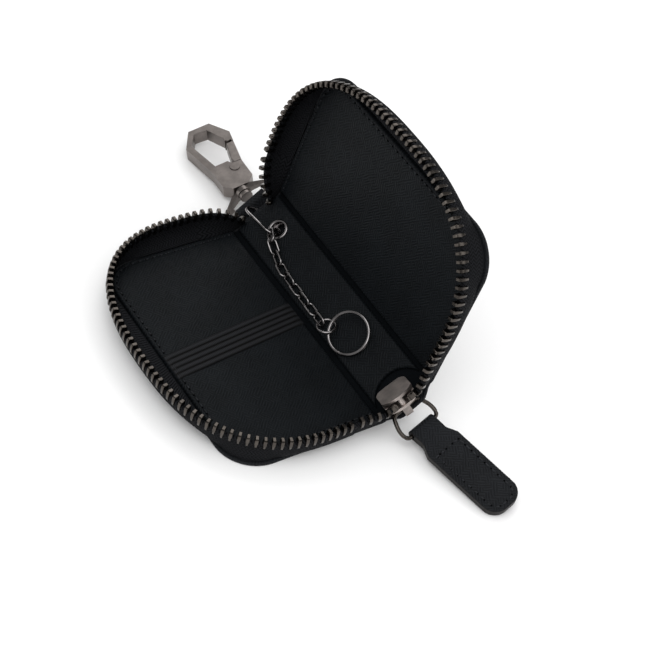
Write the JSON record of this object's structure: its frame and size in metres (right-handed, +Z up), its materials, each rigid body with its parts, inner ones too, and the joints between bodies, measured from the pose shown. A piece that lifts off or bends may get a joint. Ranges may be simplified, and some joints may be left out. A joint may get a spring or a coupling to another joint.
{
  "type": "zip-around key case",
  "caption": "Zip-around leather key case standing open, with a chained key ring, a snap hook on a swivel and a leather zip pull.",
  "frame": {"origin": "centre of the flat half's bottom face", "axes": "+X from the flat half to the spine and the standing half, +Y along the spine to the snap hook, +Z up from the face it rests on"},
  "size_m": [0.087, 0.178, 0.0762],
  "materials": {
    "outer_leather": "cross-grain, satin",
    "lining_leather": "cross-grain, satin",
    "board": "pressed fibre",
    "woven_tape": "woven",
    "zip_metal": "dark nickel, polished",
    "clasp_metal": "gunmetal plating, satin",
    "wire_steel": "dark nickel, polished"
  },
  "bodies": {
    "base": {"base_cover": "outer_leather", "base_board": "board", "base_lining": "lining_leather", "base_tape": "woven_tape", "base_teeth": "zip_metal", "elastic_band": "woven_tape"},
    "spine": {"spine_cover": "outer_leather", "spine_board": "board", "spine_lining": "lining_leather", "eyelet": "zip_metal", "eyelet_washer": "zip_metal", "hanger_strap": "outer_leather", "end_tape_base": "woven_tape", "end_tape_front": "woven_tape", "end_teeth_base": "zip_metal", "end_teeth_front": "zip_metal", "slider_body": "zip_metal", "slider_crown": "zip_metal"},
    "front": {"front_cover": "outer_leather", "front_board": "board", "front_lining": "lining_leather", "front_tape": "woven_tape", "front_teeth": "zip_metal"},
    "pull_shackle": {"pull_shackle": "zip_metal"},
    "pull_tab": {"pull_tab": "outer_leather", "tab_filler": "board"},
    "clasp_ring": {"clasp_ring": "clasp_metal"},
    "hook": {"swivel_post": "clasp_metal", "hook_body": "clasp_metal", "gate_rivet": "clasp_metal", "gate_spring": "wire_steel"},
    "gate": {"hook_gate": "clasp_metal"},
    "anchor_ring": {"anchor_ring": "wire_steel"},
    "link_1": {"chain_link_1": "wire_steel"},
    "link_2": {"chain_link_2": "wire_steel"},
    "link_3": {"chain_link_3": "wire_steel"},
    "link_4": {"chain_link_4": "wire_steel"},
    "link_5": {"chain_link_5": "wire_steel"},
    "link_6": {"chain_link_6": "wire_steel"},
    "link_7": {"chain_link_7": "wire_steel"},
    "link_8": {"chain_link_8": "wire_steel"},
    "link_9": {"chain_link_9": "wire_steel"},
    "jump_ring": {"jump_ring": "wire_steel"},
    "key_ring": {"key_ring": "wire_steel"}
  },
  "joints": [
    {"name": "fold_spine", "type": "hinge", "parent": "base", "child": "spine", "pos_m": [0.0267, 0, 0.0006], "axis": [0, -1, 0], "range_deg": [0, 50], "deforming": ["end_tape_base", "end_teeth_base"]},
    {"name": "fold_front", "type": "hinge", "parent": "spine", "child": "front", "pos_m": [0.04126, 0, 0.01281], "axis": [0, -1, 0], "range_deg": [0, 50], "deforming": ["end_tape_front", "end_teeth_front"]},
    {"name": "pull_swing", "type": "hinge", "parent": "spine", "child": "pull_shackle", "pos_m": [0.03128, -0.0469, 0.00764], "axis": [0.9494, 0.2192, 0.2249], "range_deg": [-45, 20]},
    {"name": "tab_turn", "type": "hinge", "parent": "pull_shackle", "child": "pull_tab", "pos_m": [0.03361, -0.05432, 0.00504], "axis": [0.9494, 0.2192, 0.2249], "range_deg": [-40, 25]},
    {"name": "clasp_turn", "type": "hinge", "parent": "spine", "child": "clasp_ring", "pos_m": [0.03463, 0.0488, 0.00608], "axis": [0.7659, -0.0174, 0.6427], "range_deg": [-10, 35]},
    {"name": "hook_swivel", "type": "hinge", "parent": "clasp_ring", "child": "hook", "pos_m": [0.03498, 0.05398, 0.00581], "axis": [0.0666, 0.9964, -0.0523], "continuous": true},
    {"name": "gate_swing", "type": "hinge", "parent": "hook", "child": "gate", "pos_m": [0.03784, 0.06493, 0.0058], "axis": [-0.2559, 0.0677, 0.9643], "range_deg": [0, 22], "stiffness_Nm_per_rad": 0.012, "springref_deg": -14.32},
    {"name": "anchor_swing", "type": "hinge", "parent": "spine", "child": "anchor_ring", "pos_m": [0.03333, 0.0315, 0.00825], "axis": [-0.6428, 0, 0.766], "range_deg": [0, 1.55]},
    {"name": "link_1_turn", "type": "hinge", "parent": "anchor_ring", "child": "link_1", "pos_m": [0.03114, 0.03326, 0.00975], "axis": [-0.766, 0, -0.6428], "range_deg": [0, 3]},
    {"name": "link_2_turn", "type": "hinge", "parent": "link_1", "child": "link_2", "pos_m": [0.02985, 0.02916, 0.0087], "axis": [-0.766, 0, -0.6428], "range_deg": [0, 6]},
    {"name": "link_3_turn", "type": "hinge", "parent": "link_2", "child": "link_3", "pos_m": [0.02884, 0.02514, 0.0075], "axis": [-0.766, 0, -0.6428], "range_deg": [0, 6]},
    {"name": "link_4_turn", "type": "hinge", "parent": "link_3", "child": "link_4", "pos_m": [0.0281, 0.02086, 0.00649], "axis": [-0.766, 0, -0.6428], "range_deg": [0, 6]},
    {"name": "link_5_turn", "type": "hinge", "parent": "link_4", "child": "link_5", "pos_m": [0.02766, 0.01636, 0.0061], "axis": [-0.766, 0, -0.6428], "range_deg": [0, 6]},
    {"name": "link_6_turn", "type": "hinge", "parent": "link_5", "child": "link_6", "pos_m": [0.0275, 0.0118, 0.00597], "axis": [-0.766, 0, -0.6428], "range_deg": [0, 6]},
    {"name": "link_7_turn", "type": "hinge", "parent": "link_6", "child": "link_7", "pos_m": [0.02741, 0.00723, 0.0059], "axis": [-0.766, 0, -0.6428], "range_deg": [0, 6]},
    {"name": "link_8_turn", "type": "hinge", "parent": "link_7", "child": "link_8", "pos_m": [0.02738, 0.00266, 0.00587], "axis": [-0.766, 0, -0.6428], "range_deg": [0, 6]},
    {"name": "link_9_turn", "type": "hinge", "parent": "link_8", "child": "link_9", "pos_m": [0.02738, -0.0019, 0.00587], "axis": [-0.766, 0, -0.6428], "range_deg": [0, 6]},
    {"name": "jump_turn", "type": "hinge", "parent": "link_9", "child": "jump_ring", "pos_m": [0.0275, -0.00639, 0.00636], "axis": [-0.766, 0, -0.6428], "range_deg": [0, 6]},
    {"name": "key_turn", "type": "hinge", "parent": "jump_ring", "child": "key_ring", "pos_m": [0.029, -0.01009, 0.00814], "axis": [-0.766, 0, -0.6428], "range_deg": [0, 5]}
  ],
  "couplings": [
    {"joint": "fold_front", "follows": "fold_spine", "ratio": 1},
    {"joint": "anchor_swing", "follows": "fold_spine", "ratio": 0.031}
  ]
}
